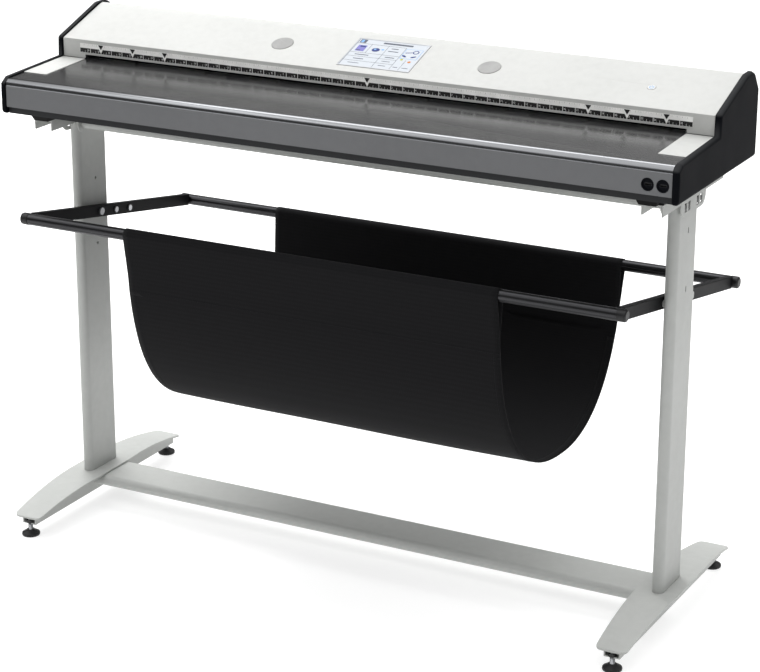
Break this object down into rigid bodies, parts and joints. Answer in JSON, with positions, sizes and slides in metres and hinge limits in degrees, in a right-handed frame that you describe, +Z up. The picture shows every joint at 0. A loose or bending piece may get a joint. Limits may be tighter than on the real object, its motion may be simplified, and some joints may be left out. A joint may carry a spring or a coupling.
{
  "type": "wide-format sheet-fed document scanner",
  "caption": "Wide sheet-fed scanner with a hinged top cover and touch screen, on a two-legged floor stand with levelling feet and a tilting fabric catch basket.",
  "frame": {"origin": "on the floor, under the middle of the overall box", "axes": "+X to the machine's right as seen from the front, +Y to the back, +Z up"},
  "size_m": [1.4286, 0.6354, 1.0384],
  "materials": {
    "white_paint": "warm white satin powder coat",
    "black_paint": "black satin paint",
    "panel_grey": "mid grey satin paint",
    "bright_aluminium": "bright anodised extrusion",
    "table_metal": "dark grey satin, brushed left to right",
    "black_plastic": "near-black moulded plastic",
    "white_plastic": "white plastic",
    "steel": "zinc-plated steel",
    "black_steel": "black-oxide steel",
    "glass": "clear float glass",
    "diffuser": "milky light diffuser",
    "bronze": "sintered bronze",
    "black_rubber": "black rubber",
    "white_rubber": "light grey rubber",
    "board": "green circuit board",
    "ruler": "printed rule, black marks on white",
    "screen_frame": "grey bezel",
    "screen": "lit touch screen with plain tiles",
    "button_grey": "satin grey",
    "stand_paint": "light grey powder coat",
    "foot_plastic": "black plastic",
    "basket_black": "black powder coat",
    "rail_metal": "dark anodised, grooved",
    "sling_fabric": "black woven polyester"
  },
  "bodies": {
    "scanner_and_stand": {"base_pan": "black_paint", "front_panel": "panel_grey", "front_moulding": "bright_aluminium", "feed_table": "table_metal", "exit_table": "table_metal", "table_panels": "white_paint", "side_covers": "black_plastic", "rear_cover": "black_paint", "end_plates": "steel", "scan_glass": "glass", "scan_housing": "black_paint", "light_bars": "diffuser", "roller_bushes": "bronze", "drive_motor": "black_paint", "drive_belt": "black_rubber", "circuit_boards": "board", "power_supply": "steel", "usb_sockets": "black_plastic", "power_inlet": "black_plastic", "hinge_posts": "steel", "scanner_feet": "black_rubber", "brackets": "stand_paint", "stand_bolts": "black_steel", "uprights": "stand_paint", "upper_beam": "stand_paint", "crossbar": "stand_paint", "foot_beams": "stand_paint", "foot_plates": "stand_paint", "arm_plates": "stand_paint"},
    "top_cover": {"top_cover": "white_paint", "ruler_strip": "ruler", "size_arrows": "black_plastic", "screen_frame": "screen_frame", "touch_screen": "screen", "button_cups": "steel", "pressure_frame": "steel", "roller_hangers": "steel", "background_plate": "white_plastic", "lid_knuckles": "steel"},
    "release_button_left": {"release_button_left": "button_grey"},
    "release_button_right": {"release_button_right": "button_grey"},
    "power_button": {"power_button": "white_plastic"},
    "front_drive": {"front_drive_shaft": "steel", "front_drive_tyres": "black_rubber"},
    "rear_drive": {"rear_drive_shaft": "steel", "rear_drive_tyres": "black_rubber"},
    "motor_rotor": {"motor_shaft": "steel"},
    "front_idler": {"front_idler_shaft": "steel", "front_idler_tyres": "white_rubber"},
    "rear_idler": {"rear_idler_shaft": "steel", "rear_idler_tyres": "white_rubber"},
    "levelling_foot_fl": {"levelling_foot_fl": "foot_plastic"},
    "levelling_foot_fr": {"levelling_foot_fr": "foot_plastic"},
    "levelling_foot_rl": {"levelling_foot_rl": "foot_plastic"},
    "levelling_foot_rr": {"levelling_foot_rr": "foot_plastic"},
    "catch_basket": {"basket_arms": "basket_black", "arm_caps": "black_plastic", "arm_bolts": "steel", "basket_rails": "rail_metal", "sling": "sling_fabric"}
  },
  "joints": [
    {"name": "cover_hinge", "type": "hinge", "parent": "scanner_and_stand", "child": "top_cover", "pos_m": [0, 0.14267, 0.986], "axis": [-1, 0, 0], "range_deg": [0, 60]},
    {"name": "release_left_press", "type": "slide", "parent": "top_cover", "child": "release_button_left", "axis": [0, 0.3256, -0.9455], "range_m": [0, 0.003], "stiffness_N_per_m": 900, "springref_m": -0.001},
    {"name": "release_right_press", "type": "slide", "parent": "top_cover", "child": "release_button_right", "axis": [0, 0.3256, -0.9455], "range_m": [0, 0.003], "stiffness_N_per_m": 900, "springref_m": -0.001},
    {"name": "power_press", "type": "slide", "parent": "top_cover", "child": "power_button", "axis": [0, 0.3256, -0.9455], "range_m": [0, 0.001], "stiffness_N_per_m": 900, "springref_m": -0.001},
    {"name": "front_drive_spin", "type": "hinge", "parent": "scanner_and_stand", "child": "front_drive", "pos_m": [0, -0.00333, 0.9389], "axis": [1, 0, 0], "continuous": true},
    {"name": "rear_drive_spin", "type": "hinge", "parent": "scanner_and_stand", "child": "rear_drive", "pos_m": [0, 0.06467, 0.9389], "axis": [1, 0, 0], "continuous": true},
    {"name": "motor_spin", "type": "hinge", "parent": "scanner_and_stand", "child": "motor_rotor", "pos_m": [-0.69, 0.03067, 0.898], "axis": [1, 0, 0], "continuous": true},
    {"name": "front_idler_spin", "type": "hinge", "parent": "top_cover", "child": "front_idler", "pos_m": [0, -0.00333, 0.9572], "axis": [1, 0, 0], "continuous": true},
    {"name": "rear_idler_spin", "type": "hinge", "parent": "top_cover", "child": "rear_idler", "pos_m": [0, 0.06467, 0.9572], "axis": [1, 0, 0], "continuous": true},
    {"name": "basket_tilt", "type": "hinge", "parent": "scanner_and_stand", "child": "catch_basket", "pos_m": [0, -0.04593, 0.6336], "axis": [1, 0, 0], "range_deg": [-10, 10]},
    {"name": "levelling_screw_fl", "type": "slide", "parent": "scanner_and_stand", "child": "levelling_foot_fl", "axis": [0, 0, 1], "range_m": [-0.006, 0.004]},
    {"name": "levelling_screw_fr", "type": "slide", "parent": "scanner_and_stand", "child": "levelling_foot_fr", "axis": [0, 0, 1], "range_m": [-0.006, 0.004]},
    {"name": "levelling_screw_rl", "type": "slide", "parent": "scanner_and_stand", "child": "levelling_foot_rl", "axis": [0, 0, 1], "range_m": [-0.006, 0.004]},
    {"name": "levelling_screw_rr", "type": "slide", "parent": "scanner_and_stand", "child": "levelling_foot_rr", "axis": [0, 0, 1], "range_m": [-0.006, 0.004]}
  ],
  "couplings": [
    {"joint": "rear_drive_spin", "follows": "front_drive_spin", "ratio": 1},
    {"joint": "motor_spin", "follows": "front_drive_spin", "ratio": 1.5714},
    {"joint": "front_idler_spin", "follows": "front_drive_spin", "ratio": -1.25},
    {"joint": "rear_idler_spin", "follows": "front_drive_spin", "ratio": -1.25}
  ]
}
